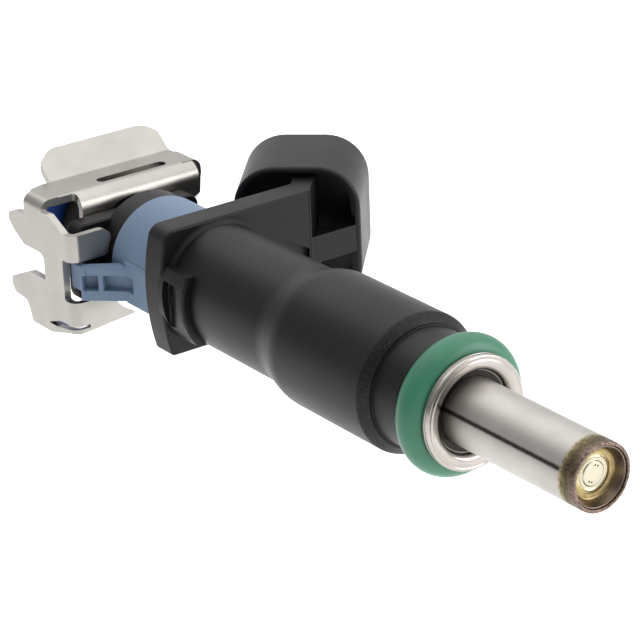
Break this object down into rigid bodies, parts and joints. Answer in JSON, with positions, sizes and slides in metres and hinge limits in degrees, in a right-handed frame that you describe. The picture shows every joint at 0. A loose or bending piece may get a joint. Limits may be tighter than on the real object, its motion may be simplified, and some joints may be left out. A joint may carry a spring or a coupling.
{
  "type": "fuel injector",
  "caption": "Port fuel injector with a long steel tip, O-rings at both ends, a black moulded body with an angled connector, a keyed ring and a steel retaining clip",
  "frame": {"origin": "the centre of the upper O-ring on the injector's axis, where the injector hangs in its fuel rail cup", "axes": "+X along the injector's axis towards the spray tip, +Y towards the connector's side, +Z towards the clip's top plate and handle"},
  "size_m": [0.0908, 0.038, 0.0179],
  "materials": {
    "tube_steel": "drawn stainless tube with fine lines along it and a heat-tinted band at the weld",
    "plate_steel": "stamped stainless plate, slightly yellowed",
    "ground_steel": "ground stainless steel",
    "ball_steel": "lapped ball",
    "magnet_steel": "turned magnetic steel",
    "spring_steel": "drawn spring wire",
    "bobbin_plastic": "natural nylon",
    "enamelled_copper": "enamelled copper wire, wound",
    "filter_brass": "plain brass ring",
    "filter_mesh": "woven nylon mesh",
    "collar_steel": "turned and polished stainless collar",
    "green_rubber": "green fluoro rubber with a slight sheen",
    "blue_rubber": "blue fluoro rubber",
    "black_plastic": "glass-filled nylon, satin",
    "blue_plastic": "pale blue nylon, satin",
    "tinned_terminal": "tinned brass",
    "clip_steel": "rolled stainless strip, satin, brighter on its bends"
  },
  "bodies": {
    "injector": {"valve_tube": "tube_steel", "spray_plate": "plate_steel", "valve_seat": "ground_steel", "ball_guide": "ground_steel", "pole_core": "magnet_steel", "adjusting_sleeve": "ground_steel", "return_spring": "spring_steel", "coil_bobbin": "bobbin_plastic", "coil_winding": "enamelled_copper", "magnet_housing": "magnet_steel", "flux_washer": "magnet_steel", "inlet_tube": "tube_steel", "filter_ring": "filter_brass", "inlet_filter": "filter_mesh", "lower_collar": "collar_steel", "lower_oring": "green_rubber", "oring_seat": "ground_steel", "upper_oring": "blue_rubber", "rear_spacer": "black_plastic", "terminal_upper": "tinned_terminal", "terminal_lower": "tinned_terminal", "overmould_body": "black_plastic", "index_ring": "blue_plastic", "clip_carrier": "black_plastic"},
    "needle": {"valve_ball": "ball_steel", "needle_tube": "ground_steel", "armature": "magnet_steel"},
    "clip": {"retaining_clip": "clip_steel"}
  },
  "joints": [
    {"name": "needle_lift", "type": "slide", "parent": "injector", "child": "needle", "axis": [-1, 0, 0], "range_m": [0, 0.0001], "stiffness_N_per_m": 3000, "springref_m": -0.001, "deforming": ["return_spring"]},
    {"name": "clip_float", "type": "slide", "parent": "injector", "child": "clip", "axis": [0, 0, 1], "range_m": [0, 0.00035]}
  ]
}
